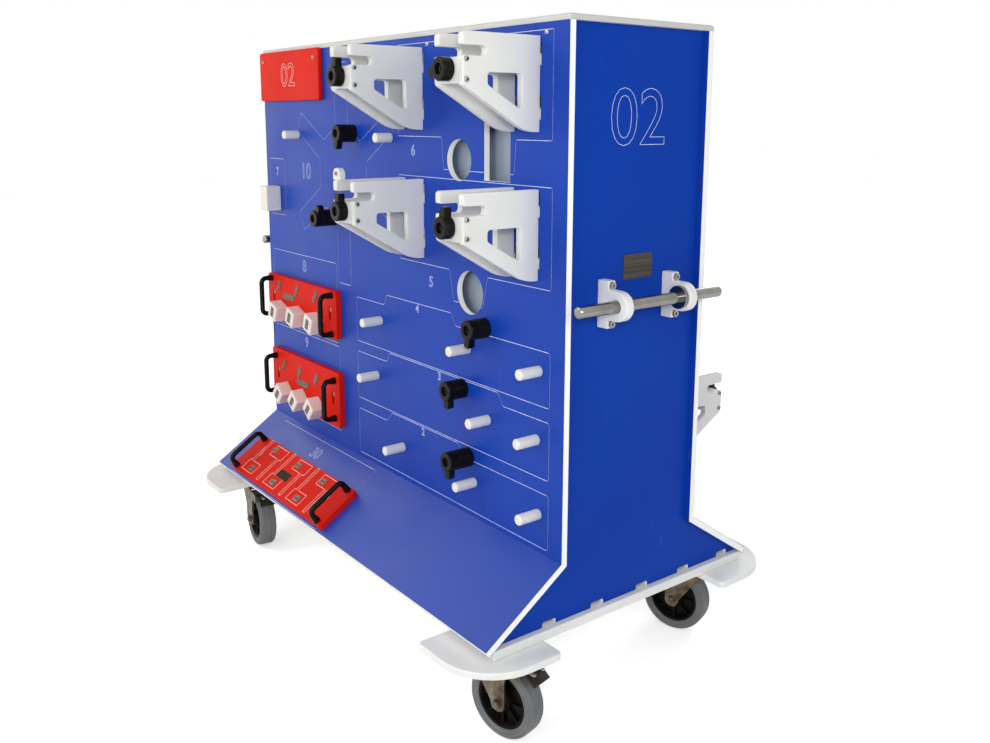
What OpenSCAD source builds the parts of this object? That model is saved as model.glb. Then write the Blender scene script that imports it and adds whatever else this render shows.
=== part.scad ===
// Mobile parts cart: a sheet-built cabinet with flared skirts on four swivel casters.
// X runs along the cart, the working face looks to -Y and Z is up.
// The origin lies on the floor under the middle of the cart. All sizes are in millimetres.

/* [Cabinet] */
// Length of the front and rear panels
cabinet_l = 1324; // [1280:1:1400]
// Depth over the outer faces of the front and rear panels
cabinet_d = 397; // [370:1:440]
// Height of the lid's top above the floor
cabinet_h = 1428; // [1420:1:1480]
// Thickness of the coloured sheet with its white core
sheet_t = 15; // [13:0.5:17]
// Thickness of the lid
lid_t = 12; // [10:0.5:15]
// Rounding of the lid's top edges
lid_edge_r = 5; // [2:0.5:7]
// Height of the fold between a panel and its skirt
fold_z = 354; // [345:1:365]
// Horizontal run of a skirt from the fold to its foot
skirt_run = 190; // [186:1:205]
// Drop of a skirt from the fold to its foot
skirt_drop = 127; // [120:1:135]
// How far the end panels stand back from the panel ends
end_recess = 14; // [10:1:18]
// Height of a tab that joins an end panel to the front and rear panels
tab_h = 44; // [36:1:50]
// Depth of a tab into its pocket
tab_depth = 7; // [5:0.5:8]
// Clearance all round a tab in its pocket
tab_gap = 0.2; // [0.1:0.05:0.5]
// Diameter of the corner relief beside a tab
relief_d = 8; // [6:0.5:10]
// Length of a drain notch in the foot of an end panel
drain_l = 36; // [28:1:42]
// Height of a drain notch
drain_h = 11; // [8:0.5:13]
// Distance between drain notches
drain_pitch = 134; // [120:1:140]
// Distance of the inner liner from the front panel's inner face
liner_back = 20; // [18:1:60]
// Thickness of the inner liner
liner_t = 4; // [3:0.5:6]

/* [Front openings] */
// Diameter of the upper round port
port_upper_d = 90; // [80:1:96]
// Diameter of the lower round port
port_lower_d = 96; // [80:1:102]
// Width of the rectangular slot
slot_w = 88; // [80:1:89]
// Height of the rectangular slot
slot_tall = 120; // [100:1:121]

/* [Base and casters] */
// Thickness of the base plate
base_t = 20; // [18:0.5:24]
// Thickness of a corner pad
pad_t = 15; // [12:0.5:18]
// Side of a corner pad
pad_side = 208; // [200:1:220]
// Rounding of a pad's outer corner
pad_outer_r = 128; // [110:1:140]
// Rounding of a pad's other corners
pad_corner_r = 12; // [6:1:16]
// How far a pad stands out past the base plate's end
pad_over_x = 56; // [50:1:64]
// How far a pad stands out past the base plate's side
pad_over_y = 79; // [70:1:86]
// Distance of a swivel axis from the pad's inner end
swivel_in_x = 66; // [60:1:76]
// Distance of a swivel axis from the pad's inner side
swivel_in_y = 72; // [62:1:80]
// Height of a caster from the floor to its top plate
caster_h = 187; // [185:1:192]
// Diameter of a wheel
wheel_d = 160; // [156:1:162]
// Width of a tyre
tyre_w = 46; // [40:1:48]
// Depth of a tyre's rubber from the tread to the rim
tyre_depth = 21; // [18:0.5:24]
// Distance of the wheel's axis behind the swivel axis
trail = 44; // [40:1:48]
// Gap between a fork's legs
fork_gap = 54; // [52:0.5:58]
// Thickness of the fork's steel
fork_t = 4; // [3:0.5:5]
// Diameter of an axle
axle_d = 12; // [10:0.5:14]
// Diameter of a king pin
king_d = 14; // [12:0.5:16]
// Side of a caster's top plate
top_plate_side = 104; // [96:1:112]
// Thickness of a caster's top plate
top_plate_t = 5; // [4:0.5:6]
// Diameter of the ball race under a top plate
race_d = 74; // [68:1:80]
// Turn of the front right caster about its swivel axis
turn_front_right = 13; // [-180:1:180]
// Turn of the front left caster
turn_front_left = -8; // [-180:1:180]
// Turn of the rear right caster
turn_rear_right = 198; // [0:1:360]
// Turn of the rear left caster
turn_rear_left = 171; // [0:1:360]
// Width of a brake pedal
pedal_w = 50; // [40:1:51]
// Thickness of a brake pedal's plate
pedal_t = 4; // [3:0.5:5]
// Reach of a brake pedal past its pivot
pedal_reach = 50; // [42:1:56]

/* [Divider arms] */
// Reach of an arm from the panel
arm_out = 181; // [174:1:190]
// Height of an arm at the panel
arm_h = 180; // [176:1:190]
// Thickness of an arm's two side plates
arm_t = 15; // [12:0.5:16]
// Clear width between the side plates
arm_gap = 61; // [58:1:66]
// Height of the horn over the slot
horn_h = 24; // [22:0.5:27]
// Height of the slot under the horn
arm_slot_h = 19; // [16:0.5:20]
// Depth of the slot from the front edge
arm_slot_l = 52; // [44:1:54]
// Height of the front edge down to the sloping underside
arm_front_h = 94; // [92:1:98]
// Distance from the panel where the sloping underside would meet the bottom
arm_toe = 32; // [28:1:40]
// Rounding of that corner
arm_toe_r = 90; // [60:5:100]
// Height of a mortise for a hook
mortise_h = 45; // [45:0.5:47]
// Height of a hook's neck in its mortise
hook_neck_h = 22; // [20:0.5:22]
// Thickness of a hook behind the panel
hook_t = 12; // [10:0.5:14]
// Length that a hook hangs down behind the panel
hook_drop = 20; // [16:0.5:21]
// Front of the cross block between the plates, from the panel
block_out = 182; // [178:0.5:184]
// Length of the cross block
block_l = 42; // [36:1:44]

/* [Knobs and clamps] */
// Diameter of a lever knob and of a clamp post
knob_d = 44; // [40:0.5:46]
// Length of a lever knob
knob_l = 22; // [20:0.5:23]
// Reach of the lever from the knob's axis
lever_reach = 40; // [36:0.5:42]
// Width of the lever at its root
lever_w = 20; // [17:0.5:22]
// Thickness of the lever
lever_t = 16; // [13:0.5:17]
// Diameter of the pivot screw's shoulder
pivot_d = 14; // [12:0.5:15]
// Diameter of the pivot screw's head
pivot_head_d = 19; // [17:0.5:20]
// Height of the pivot screw's head
pivot_head_h = 5; // [4:0.5:6]
// Length of a short clamp post
post_short = 28; // [24:1:32]
// Length of a long clamp post
post_long = 41; // [36:1:46]

/* [Pegs and small fittings] */
// Diameter of a peg
peg_d = 22.6; // [20:0.2:25]
// Length of the pegs on the lower rows
peg_l = 55; // [48:1:62]
// Length of the pegs on the top row
peg_top_l = 44; // [38:1:50]
// Diameter of the spigot that holds a peg or post in the panel
spigot_d = 12; // [10:0.5:13]
// Length of the red sign plate
sign_l = 358; // [340:1:370]
// Height of the red sign plate
sign_h = 134; // [110:1:138]
// Thickness of the red sign plate
sign_t = 12; // [10:0.5:14]
// Width of the white rest block
rest_w = 45; // [38:1:50]
// Height of the white rest block
rest_h = 70; // [60:1:76]
// Depth of the white rest block
rest_out = 44; // [38:1:50]

/* [Tag plates] */
// Thickness of the red tag plates
tag_t = 15; // [14:0.5:17]
// Length of the upper tag plate
tag_upper_l = 418; // [400:1:424]
// Height of the upper tag plate
tag_upper_h = 132; // [131:1:138]
// Length of the lower tag plate
tag_lower_l = 413; // [400:1:420]
// Height of the lower tag plate
tag_lower_h = 153; // [140:1:158]
// Length of the tag plate on the skirt
tag_skirt_l = 545; // [520:1:560]
// Width of the tag plate on the skirt
tag_skirt_h = 126; // [124:1:130]
// Rounding of a tag plate's corners
tag_r = 9; // [5:1:12]
// Travel that unhooks a tag plate from its screws
tag_lift = 22; // [18:1:23]
// Width of the slot that hangs on a screw's shank
keyhole_w = 8.6; // [8.4:0.2:9.4]
// Width of the pocket for a screw's head
pocket_w = 14; // [13.4:0.2:16]
// Depth of that pocket
pocket_depth = 7; // [6:0.5:8]
// Diameter of a hanger screw's shank
hanger_d = 8; // [7:0.2:8.2]
// Diameter of a hanger screw's head
hanger_head_d = 12.4; // [11:0.2:12.8]
// Diameter of a bridge handle's bar
handle_d = 14; // [12:0.5:16]
// Distance between a handle's feet
handle_span = 106; // [100:1:108]
// Rise of a handle's bar to its axis
handle_rise = 34; // [30:1:40]
// Side of a square tag block
cube_side = 46; // [40:0.5:48]
// Height of a square tag block over its plate
cube_out = 38; // [34:1:46]
// Distance between the blocks on the upper plate
cube_upper_pitch = 110; // [100:1:114]
// Distance between the blocks on the lower plate
cube_lower_pitch = 97; // [90:1:104]
// Turn of the blocks on the upper plate
cube_upper_turn = 20; // [0:1:45]
// Turn of the blocks on the lower plate
cube_lower_turn = 40; // [0:1:45]

/* [Push bars] */
// Diameter of a push bar
bar_d = 25; // [22:0.5:28]
// Length of a push bar
bar_l = 406; // [380:1:430]
// Height of the push bars above the floor
bar_z = 877; // [840:1:920]
// Distance of a bar's axis from the end panel
bar_off = 52; // [48:1:58]
// Distance between a bar's two pillow blocks
bar_span = 184; // [170:1:200]
// Thickness of a pillow block along the bar
pillow_t = 20; // [18:0.5:24]
// Height of a pillow block's foot
pillow_foot_h = 96; // [90:1:104]
// Depth of a pillow block's foot
pillow_foot_d = 30; // [26:0.5:34]
// Radius of a pillow block's round nose
pillow_nose_r = 30; // [27:0.5:31]
// Distance between a pillow block's two screws
pillow_screw_span = 78; // [76:0.5:82]
// Diameter of a pillow screw's head
pillow_head_d = 14; // [12:0.5:15]
// Diameter of the collar on a bar
collar_d = 48; // [42:1:54]
// Thickness of the collar
collar_t = 8; // [6:0.5:10]

/* [Hidden] */
$fn = 64;

blue = [0.12, 0.24, 0.62];
white = [0.93, 0.93, 0.91];
red = [0.80, 0.10, 0.07];
black = [0.07, 0.07, 0.07];
steel = [0.72, 0.72, 0.73];
zinc = [0.62, 0.60, 0.56];
liner_grey = [0.55, 0.57, 0.60];
tyre_grey = [0.36, 0.38, 0.41];

// Clearances: a running fit on a shaft, a snug fit in one piece, a gap between moving faces
run_gap = 0.05;
snug_gap = 0.05;
face_gap = 0.3;

// Cabinet sections, with depths counted outwards from the middle plane
half_l = cabinet_l / 2;
half_d = cabinet_d / 2;
inner_d = half_d - sheet_t;
lid_z = cabinet_h - lid_t;
slope = atan2(skirt_drop, skirt_run);
skirt_l = norm([skirt_run, skirt_drop]);
fold_in_z = fold_z - sheet_t * tan((90 - slope) / 2);
foot = [half_d + skirt_run, fold_z - skirt_drop];
foot_in = foot - sheet_t * [sin(slope), cos(slope)];
pad_z = caster_h;
base_z = pad_z + pad_t;
base_top = base_z + base_t;
base_half_d = foot_in.x - (base_top - foot_in.y) / tan(slope);
end_x = half_l - end_recess;
tab_drops = [92, 416, 560, 826];
drain_first = -217;
drain_count = 5;
drain_r = 5;

// Places on the panels: x from an end of the panel, z from under the lid or above the fold.
// The rows above the fold spread over the height that the openings under the lid leave free.
rows_drop = 599;
rows_drawn_h = 463;
rows_h = lid_z - rows_drop - fold_z;
function from_right(d) = half_l - d;
function from_left(d) = d - half_l;
function below_lid(d) = lid_z - d;
function above_fold(d) = fold_z + d * rows_h / rows_drawn_h;

port_upper = [from_right(351), below_lid(267)];
port_lower = [from_right(312), below_lid(551)];
slot_place = [from_right(217), below_lid(246)];

arm_x_right = from_right(128.5);
arm_x_left = from_right(534.5);
arm_top_upper = below_lid(24);
arm_top_lower = below_lid(314);
arm_top_rear = above_fold(289);
arm_places = [
    [arm_x_left, arm_top_upper], [arm_x_right, arm_top_upper],
    [arm_x_left, arm_top_lower], [arm_x_right, arm_top_lower]
];
// Bottom edge of the two mortises under an arm's top
mortise_drops = [55, 157];
knob_drop = 66;
arm_w = arm_gap + 2 * arm_t;
mortise_side = 3;
mortise_w = arm_t + 2 * mortise_side;
arm_slot_r = 8;
window_r = 7;
window_rear = 44;
window_front = 125;
window_top = 71;
window_rib = 33;
arm_slope = (arm_h - arm_front_h) / (arm_out - arm_toe);
block_top = horn_h + arm_slot_h + 2;
block_bottom = arm_front_h - 2;
stop_r = 15;
stop_l = 14;
stop_h = 26;
stop_back = 4;

// Clamps: x, z, post length and turn of the lever from upright
clamps = [
    [from_right(809), below_lid(216), post_short, 198],
    [from_right(919), below_lid(436), post_long, 35],
    [from_right(257), above_fold(443), post_short, 188],
    [from_right(340), above_fold(291), post_short, 178],
    [from_right(318), above_fold(137), post_long, 180]
];
knob_chamfer = 2;
lever_back = 4;
head_sunk = 7;
seat_depth = knob_l - pivot_head_h - head_sunk;
head_y = face_gap + seat_depth + face_gap;
thread_d = 10;
thread_l = 16;
hex_d = 9;
hex_depth = 3;
post_groove_drops = [5, 15];
post_groove_w = 1.6;
post_groove_depth = 1;

// Pegs: rows by height, then the distances from the right end in each row
peg_row_top = below_lid(224);
peg_row_3 = above_fold(386);
peg_row_2 = above_fold(241);
peg_row_1 = above_fold(83);
top_pegs = [for (d = [1115, 630]) [from_right(d), peg_row_top]];
low_pegs = concat(
    [for (d = [690, 318, 76]) [from_right(d), peg_row_3]],
    [for (d = [711, 246, 82]) [from_right(d), peg_row_2]],
    [for (d = [592, 296, 74]) [from_right(d), peg_row_1]]
);
peg_chamfer = 2;

sign_corner = [from_left(3), below_lid(-2)];
rest_corner = [from_left(41), below_lid(372)];
tag_upper = [from_left(13) + tag_upper_l / 2, above_fold(365)];
tag_lower = [from_left(24) + tag_lower_l / 2, above_fold(131.5)];
tag_skirt = [from_left(96) + tag_skirt_l / 2, 157];
handle_inset = 26;
handle_foot_d = handle_d + 5;
keyhole_inset = 36;
skirt_keyhole_inset = 70;
hanger_rise = 13;
hanger_head_h = 4.5;
hanger_thread_l = 12;
cube_drop_upper = 34;
cube_drop_lower = 44;
cube_shift_lower = 9;
cube_r = 3;

// Caster heights
axle_z = wheel_d / 2;
rim_d = wheel_d - 2 * tyre_depth;
race_h = 13;
crown_top = caster_h - top_plate_t - face_gap;
crown_z = crown_top - race_h;
hub_d = 44;
hub_side_gap = 1;
hub_w = fork_gap - 2 * hub_side_gap;
rim_w = tyre_w - 8;
rib_count = 8;
rib_t = 4;
rib_w = rim_w - 10;
leg_r = 17;
leg_rear = -36;
leg_front = 36;
nut_d = 20;
nut_h = 8;
king_nut_h = 9;
swivel_x = half_l + pad_over_x - pad_side + swivel_in_x;
swivel_y = base_half_d + pad_over_y - pad_side + swivel_in_y;
wing_s = 97;
wing_z = crown_z - 27;
wing_rise = 8;
pedal_s = 85;
pedal_pin_d = 8;
pedal_z = crown_z - 9;
pedal_bend = pedal_reach - 24;
pedal_fall = 18;

// Outline helpers: corners are given as [x, y, rounding]
function unit(v) = v / norm(v);
function turned(v, a) = [v.x * cos(a) - v.y * sin(a), v.x * sin(a) + v.y * cos(a)];
function corner_arc(before, corner, after, r, steps) =
    let (u = unit(before - corner), v = unit(after - corner),
         half = acos(u * v) / 2,
         centre = corner + unit(u + v) * r / sin(half),
         start = corner + u * r / tan(half) - centre,
         end = corner + v * r / tan(half) - centre,
         sweep = atan2(start.x * end.y - start.y * end.x, start * end))
    [for (i = [0:steps]) centre + turned(start, sweep * i / steps)];
function flat(p) = [p.x, p.y];
function rounded(corners, steps = 6) =
    let (n = len(corners))
    [for (i = [0:n - 1])
        let (c = corners[i])
        each c.z > 0
            ? corner_arc(flat(corners[(i + n - 1) % n]), flat(c), flat(corners[(i + 1) % n]), c.z, steps)
            : [flat(c)]];
function rounded_box(w, h, r) =
    rounded([[-w / 2, -h / 2, r], [w / 2, -h / 2, r], [w / 2, h / 2, r], [-w / 2, h / 2, r]]);

// A profile in depth and height, drawn out along X about the middle
module along_x(l) translate([-l / 2, 0, 0]) rotate([90, 0, 90]) linear_extrude(l) children();
// A profile in x and height, drawn out towards +Y
module outwards(t) rotate([90, 0, 0]) mirror([0, 0, 1]) linear_extrude(t) children();
// A round bar towards +Y
module rod_out(d, l) rotate([-90, 0, 0]) cylinder(d = d, h = l);
// Frames on the two panels, with +Y pointing out of the panel
module on_front(place) mirror([0, 1, 0]) translate([place.x, half_d, place.y]) children();
module on_rear(place) translate([place.x, half_d, place.y]) children();
// The frame on the front skirt: x, then the distance down the slope from the fold
module on_skirt(place)
    mirror([0, 1, 0]) translate([0, half_d, fold_z]) rotate([90 - slope, 0, 0])
        translate([place.x, 0, -place.y]) children();

module panel_blank()
    along_x(cabinet_l)
        polygon([[inner_d, fold_in_z], [half_d, fold_z], [half_d, lid_z], [inner_d, lid_z]]);

module skirt_blank()
    along_x(cabinet_l) polygon([[inner_d, fold_in_z], [half_d, fold_z], foot, foot_in]);

module tab_pockets()
    for (side = [-1, 1], drop = tab_drops)
        translate([side * (end_x - sheet_t / 2), inner_d + tab_depth / 2, below_lid(drop)])
            cube([sheet_t + 2 * tab_gap, tab_depth + 2 * tab_gap, tab_h + 2 * tab_gap], center = true);

// Cuts for one arm's four hooks, in a panel's frame at the arm's top
module arm_mortises()
    for (side = [-1, 1], drop = mortise_drops)
        translate([side * (arm_gap + arm_t) / 2 - mortise_w / 2, -sheet_t - 1, -drop])
            cube([mortise_w, sheet_t + 2, mortise_h]);

module spigot_hole() translate([0, -sheet_t - 1, 0]) rod_out(spigot_d + 2 * snug_gap, sheet_t + 2);

// Thread hole of a hanger screw, from the surface inwards
module hanger_hole() translate([0, -hanger_thread_l, 0]) rod_out(hanger_d + 2 * snug_gap, hanger_thread_l + 1);

module front_panel()
    color(blue) difference() {
        mirror([0, 1, 0]) panel_blank();
        mirror([0, 1, 0]) tab_pockets();
        for (place = arm_places) on_front(place) arm_mortises();
        for (place = concat(top_pegs, low_pegs)) on_front(place) spigot_hole();
        for (c = clamps) on_front([c[0], c[1]]) spigot_hole();
        on_front(port_upper) translate([0, -sheet_t - 1, 0]) rod_out(port_upper_d, sheet_t + 2);
        on_front(port_lower) translate([0, -sheet_t - 1, 0]) rod_out(port_lower_d, sheet_t + 2);
        on_front(slot_place) translate([-slot_w / 2, -sheet_t - 1, -slot_tall / 2])
            cube([slot_w, sheet_t + 2, slot_tall]);
        for (side = [-1, 1]) {
            on_front(hanger_place(tag_upper, tag_upper_l, keyhole_inset, side)) hanger_hole();
            on_front(hanger_place(tag_lower, tag_lower_l, keyhole_inset, side)) hanger_hole();
        }
    }

module front_skirt()
    color(blue) difference() {
        mirror([0, 1, 0]) skirt_blank();
        for (side = [-1, 1])
            on_skirt(skirt_hanger_place(side)) hanger_hole();
    }

module rear_panel()
    color(blue) difference() {
        panel_blank();
        tab_pockets();
        on_rear([arm_x_right, arm_top_rear]) arm_mortises();
    }

module rear_skirt() color(blue) skirt_blank();

// One end wall between the panels, flared along the skirts, standing on the base
module end_panel(side)
    translate([side * (end_x - sheet_t / 2), 0, 0]) difference() {
        union() {
            along_x(sheet_t) polygon([
                [-inner_d, lid_z], [-inner_d, fold_in_z], [-base_half_d, base_top],
                [base_half_d, base_top], [inner_d, fold_in_z], [inner_d, lid_z]
            ]);
            for (drop = tab_drops)
                translate([0, 0, below_lid(drop)])
                    cube([sheet_t, 2 * (inner_d + tab_depth), tab_h], center = true);
        }
        for (drop = tab_drops, across = [-1, 1], up = [-1, 1])
            translate([-sheet_t, across * inner_d, below_lid(drop) + up * (tab_h + relief_d) / 2])
                rotate([0, 90, 0]) cylinder(d = relief_d, h = 2 * sheet_t);
        for (i = [0:drain_count - 1])
            translate([0, drain_first + i * drain_pitch, base_top])
                along_x(2 * sheet_t) polygon(rounded([
                    [-drain_l / 2, -1, 0], [drain_l / 2, -1, 0],
                    [drain_l / 2, drain_h, drain_r], [-drain_l / 2, drain_h, drain_r]
                ]));
    }

module right_end_panel() color(blue) end_panel(1);
module left_end_panel() color(blue) end_panel(-1);

module lid_section(w)
    polygon(rounded([
        [-w / 2, lid_z, 0], [w / 2, lid_z, 0],
        [w / 2, cabinet_h, lid_edge_r], [-w / 2, cabinet_h, lid_edge_r]
    ]));

// The lid's edges are rounded on all four sides, so two drawn-out sections meet
module top_lid()
    color(white) intersection() {
        along_x(cabinet_l + 2) lid_section(cabinet_d);
        translate([0, -half_d - 1, 0]) outwards(cabinet_d + 2) lid_section(cabinet_l);
    }

module base_plate()
    color(white) translate([-half_l, -base_half_d, base_z])
        cube([cabinet_l, 2 * base_half_d, base_t]);

// Bumper pads between the base and the casters, with one large round corner each
module corner_pads()
    color(white) for (sx = [-1, 1], sy = [-1, 1])
        translate([sx * (half_l + pad_over_x), sy * (base_half_d + pad_over_y), pad_z])
            linear_extrude(pad_t) polygon(rounded([
                [0, 0, pad_outer_r], [-sx * pad_side, 0, pad_corner_r],
                [-sx * pad_side, -sy * pad_side, pad_corner_r], [0, -sy * pad_side, pad_corner_r]
            ], 10));

module inner_liner()
    color(liner_grey)
        translate([-(end_x - sheet_t), -(inner_d - liner_back), fold_z])
            cube([2 * (end_x - sheet_t), liner_t, lid_z - fold_z]);

// A peg with its spigot through the panel, in the panel's frame
module peg(l) {
    rod_out(peg_d, l - peg_chamfer);
    translate([0, l - peg_chamfer, 0]) rotate([-90, 0, 0])
        cylinder(d1 = peg_d, d2 = peg_d - 2 * peg_chamfer, h = peg_chamfer);
    translate([0, -sheet_t, 0]) rod_out(spigot_d, sheet_t + 1);
}

module pegs()
    color(white) {
        for (place = top_pegs) on_front(place) peg(peg_top_l);
        for (place = low_pegs) on_front(place) peg(peg_l);
    }

// A shallow ring cut round a clamp post
module post_groove()
    difference() {
        rod_out(knob_d + 2, post_groove_w);
        translate([0, -1, 0]) rod_out(knob_d - 2 * post_groove_depth, post_groove_w + 2);
    }

module clamp_posts()
    color(black) for (c = clamps) on_front([c[0], c[1]]) difference() {
        union() {
            rod_out(knob_d, c[2]);
            translate([0, -sheet_t, 0]) rod_out(spigot_d, sheet_t + 1);
        }
        for (from_top = post_groove_drops) translate([0, c[2] - from_top, 0]) post_groove();
        translate([0, c[2] - thread_l - 1, 0]) rod_out(thread_d + 2 * snug_gap, thread_l + 2);
    }

// The shoulder screw that a lever knob turns on, from the face that it is screwed into
module pivot_screw()
    difference() {
        union() {
            translate([0, -thread_l, 0]) rod_out(thread_d, thread_l + 1);
            translate([0, snug_gap, 0]) rod_out(pivot_d, head_y);
            translate([0, head_y, 0]) rod_out(pivot_head_d, pivot_head_h);
        }
        translate([0, head_y + pivot_head_h - hex_depth, 0]) rotate([-90, 0, 0])
            cylinder(d = hex_d, h = hex_depth + 1, $fn = 6);
    }

module pivot_screws()
    color(steel) for (c = clamps) on_front([c[0], c[1]]) translate([0, c[2], 0]) pivot_screw();

// A knob with one lever set back from its front face, bored for the shoulder screw
module lever_knob(turn)
    translate([0, face_gap, 0]) rotate([0, turn, 0]) difference() {
        union() {
            rod_out(knob_d, knob_l - knob_chamfer);
            translate([0, knob_l - knob_chamfer, 0]) rotate([-90, 0, 0])
                cylinder(d1 = knob_d, d2 = knob_d - 2 * knob_chamfer, h = knob_chamfer);
            translate([0, max(0, knob_l - lever_back - lever_t), 0]) outwards(lever_t) polygon(rounded([
                [-lever_w / 2, 0, 0], [lever_w / 2, 0, 0],
                [lever_w / 2 - 1.5, lever_reach, 5], [-lever_w / 2 + 1.5, lever_reach, 5]
            ]));
        }
        translate([0, -1, 0]) rod_out(pivot_d + 2 * run_gap, knob_l + 2);
        translate([0, seat_depth, 0]) rod_out(pivot_head_d + 2, knob_l);
    }

module clamp_lever(i)
    color(black) on_front([clamps[i][0], clamps[i][1]]) translate([0, clamps[i][2], 0])
        lever_knob(clamps[i][3]);

module sign_plate()
    color(red) on_front(sign_corner) outwards(sign_t) polygon(rounded([
        [0, 0, tag_r], [sign_l, 0, tag_r], [sign_l, -sign_h, tag_r], [0, -sign_h, tag_r]
    ]));

module rest_block()
    color(white) on_front(rest_corner) outwards(rest_out) polygon(rounded([
        [0, 0, 3], [rest_w, 0, 3], [rest_w, -rest_h, 3], [0, -rest_h, 3]
    ]));

// One side plate of an arm, from the panel's face, with two hooks through the mortises
module arm_plate()
    difference() {
        union() {
            along_x(arm_t) polygon(rounded([
                [face_gap, 0, 2], [arm_out, 0, 7], [arm_out, -horn_h, 4],
                [arm_out - arm_slot_l, -horn_h, arm_slot_r],
                [arm_out - arm_slot_l, -horn_h - arm_slot_h, arm_slot_r],
                [arm_out, -horn_h - arm_slot_h, 3], [arm_out, -arm_front_h, 10],
                [arm_toe, -arm_h, arm_toe_r], [face_gap, -arm_h, 2]
            ]));
            for (drop = mortise_drops) translate([0, 0, face_gap - drop]) along_x(arm_t) polygon([
                [face_gap + 1, 0], [face_gap + 1, hook_neck_h],
                [-sheet_t - face_gap - hook_t, hook_neck_h],
                [-sheet_t - face_gap - hook_t, -hook_drop],
                [-sheet_t - face_gap, -hook_drop], [-sheet_t - face_gap, 0]
            ]);
        }
        along_x(arm_t + 2) polygon(rounded([
            [window_rear, -window_top, window_r], [window_front, -window_top, window_r],
            [window_front, -arm_front_h - (arm_out - window_front) * arm_slope + window_rib, window_r],
            [window_rear, -arm_front_h - (arm_out - window_rear) * arm_slope + window_rib, window_r]
        ]));
    }

// A whole arm in a panel's frame at the middle of its top edge
module arm() {
    for (side = [-1, 1]) translate([side * (arm_gap + arm_t) / 2, 0, 0]) arm_plate();
    difference() {
        translate([-arm_gap / 2 + snug_gap, block_out - block_l, -block_bottom])
            cube([arm_gap - 2 * snug_gap, block_l, block_bottom - block_top]);
        translate([0, block_out - thread_l - 1, -knob_drop])
            rod_out(thread_d + 2 * snug_gap, thread_l + 2);
    }
    translate([0, block_out, -knob_drop]) pivot_screw();
}

// The round-topped stop on the horn of one arm
module arm_stop()
    translate([-(arm_gap + arm_t) / 2, arm_out - stop_l - stop_back, snug_gap]) outwards(stop_l)
        polygon(rounded([
            [-stop_r, 0, 0], [stop_r, 0, 0],
            [stop_r, stop_h, stop_r - 0.5], [-stop_r, stop_h, stop_r - 0.5]
        ], 10));

module arm_knob(turn) color(black) translate([0, block_out, -knob_drop]) lever_knob(turn);

module arm_upper_left() color(white) on_front(arm_places[0]) arm();
module arm_upper_right() color(white) on_front(arm_places[1]) arm();
module arm_lower_left()
    color(white) on_front(arm_places[2]) {
        arm();
        arm_stop();
    }
module arm_lower_right() color(white) on_front(arm_places[3]) arm();
module arm_rear() color(white) on_rear([arm_x_right, arm_top_rear]) arm();

module knob_upper_left() on_front(arm_places[0]) arm_knob(8);
module knob_upper_right() on_front(arm_places[1]) arm_knob(-100);
module knob_lower_left() on_front(arm_places[2]) arm_knob(5);
module knob_lower_right() on_front(arm_places[3]) arm_knob(7);
module knob_rear() on_rear([arm_x_right, arm_top_rear]) arm_knob(0);

// Hanger screws sit high in their keyholes, so the plates lift off them
function hanger_place(centre, l, inset, side) =
    [centre.x + side * (l / 2 - inset), centre.y + hanger_rise];
function skirt_hanger_place(side) =
    [tag_skirt.x + side * (tag_skirt_l / 2 - skirt_keyhole_inset), tag_skirt.y - hanger_rise];

module hanger_screw() {
    translate([0, -hanger_thread_l, 0])
        rod_out(hanger_d, hanger_thread_l + face_gap + tag_t - pocket_depth + face_gap);
    translate([0, tag_t - pocket_depth + 2 * face_gap, 0]) rod_out(hanger_head_d, hanger_head_h);
}

module hanger_screws()
    color(steel) for (side = [-1, 1]) {
        on_front(hanger_place(tag_upper, tag_upper_l, keyhole_inset, side)) hanger_screw();
        on_front(hanger_place(tag_lower, tag_lower_l, keyhole_inset, side)) hanger_screw();
        on_skirt(skirt_hanger_place(side)) hanger_screw();
    }

// Keyhole about a screw at rest: head pocket, shank slot and the round way in below
module keyhole() {
    pocket_h = pocket_w + tag_lift;
    slot_l = keyhole_w + tag_lift;
    translate([0, tag_t - pocket_depth, (pocket_w - pocket_h) / 2]) outwards(pocket_depth + 1)
        polygon(rounded_box(pocket_w, pocket_h, pocket_w / 2 - 0.1));
    translate([0, -1, (keyhole_w - slot_l) / 2]) outwards(tag_t + 2)
        polygon(rounded_box(keyhole_w, slot_l, keyhole_w / 2 - 0.1));
    translate([0, -1, -tag_lift]) rod_out(pocket_w, tag_t);
}

// A red plate with two keyholes, in the frame of its middle
module tag_plate(l, h, inset, rise)
    translate([0, face_gap, 0]) difference() {
        outwards(tag_t) polygon(rounded_box(l, h, tag_r));
        for (side = [-1, 1]) translate([side * (l / 2 - inset), 0, rise]) keyhole();
    }

module tag_plate_upper()
    color(red) on_front(tag_upper) tag_plate(tag_upper_l, tag_upper_h, keyhole_inset, hanger_rise);
module tag_plate_lower()
    color(red) on_front(tag_lower) tag_plate(tag_lower_l, tag_lower_h, keyhole_inset, hanger_rise);
module tag_plate_skirt()
    color(red) on_skirt(tag_skirt) tag_plate(tag_skirt_l, tag_skirt_h, skirt_keyhole_inset, hanger_rise);

// A bridge handle of round bar: two legs, two quarter bends and the grip
module bridge_handle() {
    bend_r = handle_d;
    leg = handle_rise - bend_r;
    for (up = [-1, 1]) mirror([0, 0, up > 0 ? 0 : 1]) {
        translate([0, 0, handle_span / 2]) rotate([-90, 0, 0])
            cylinder(d1 = handle_foot_d, d2 = handle_d, h = leg);
        translate([0, leg, handle_span / 2 - bend_r]) rotate([90, 0, 90])
            rotate_extrude(angle = 90) translate([bend_r, 0]) circle(d = handle_d);
        translate([0, handle_rise, 0]) cylinder(d = handle_d, h = handle_span / 2 - bend_r);
    }
}

module handle_pair(l)
    color(black) for (side = [-1, 1])
        translate([side * (l / 2 - handle_inset), face_gap + tag_t, 0]) bridge_handle();

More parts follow.
